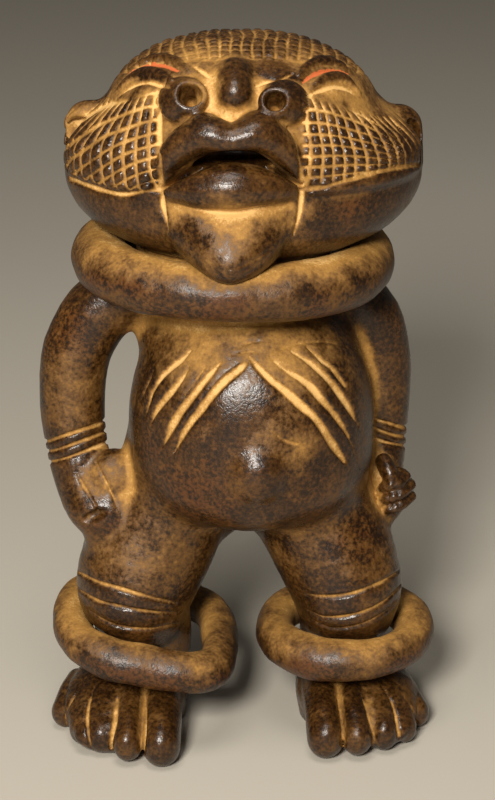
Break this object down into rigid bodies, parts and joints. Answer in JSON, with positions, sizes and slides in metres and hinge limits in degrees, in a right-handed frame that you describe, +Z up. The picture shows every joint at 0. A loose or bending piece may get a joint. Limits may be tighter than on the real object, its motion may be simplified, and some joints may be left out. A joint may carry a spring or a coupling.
{
  "type": "mupo figure",
  "caption": "Squat standing figure of fired clay with its head thrown back and loose clay rings round the neck and the ankles.",
  "frame": {"origin": "middle of the bounding box, on the ground under the soles", "axes": "+Z up the figure, -Y out of its face, +X to the right of someone who looks at the face"},
  "size_m": [0.1765, 0.1412, 0.3145],
  "materials": {
    "burnished_clay": "burnished dark slip with ochre earth in its grooves",
    "ring_clay": "worn burnished clay, matte and earthy below"
  },
  "bodies": {
    "root": {"figure": "burnished_clay", "neck_ring": "ring_clay", "left_anklet": "ring_clay", "right_anklet": "ring_clay"}
  },
  "joints": []
}
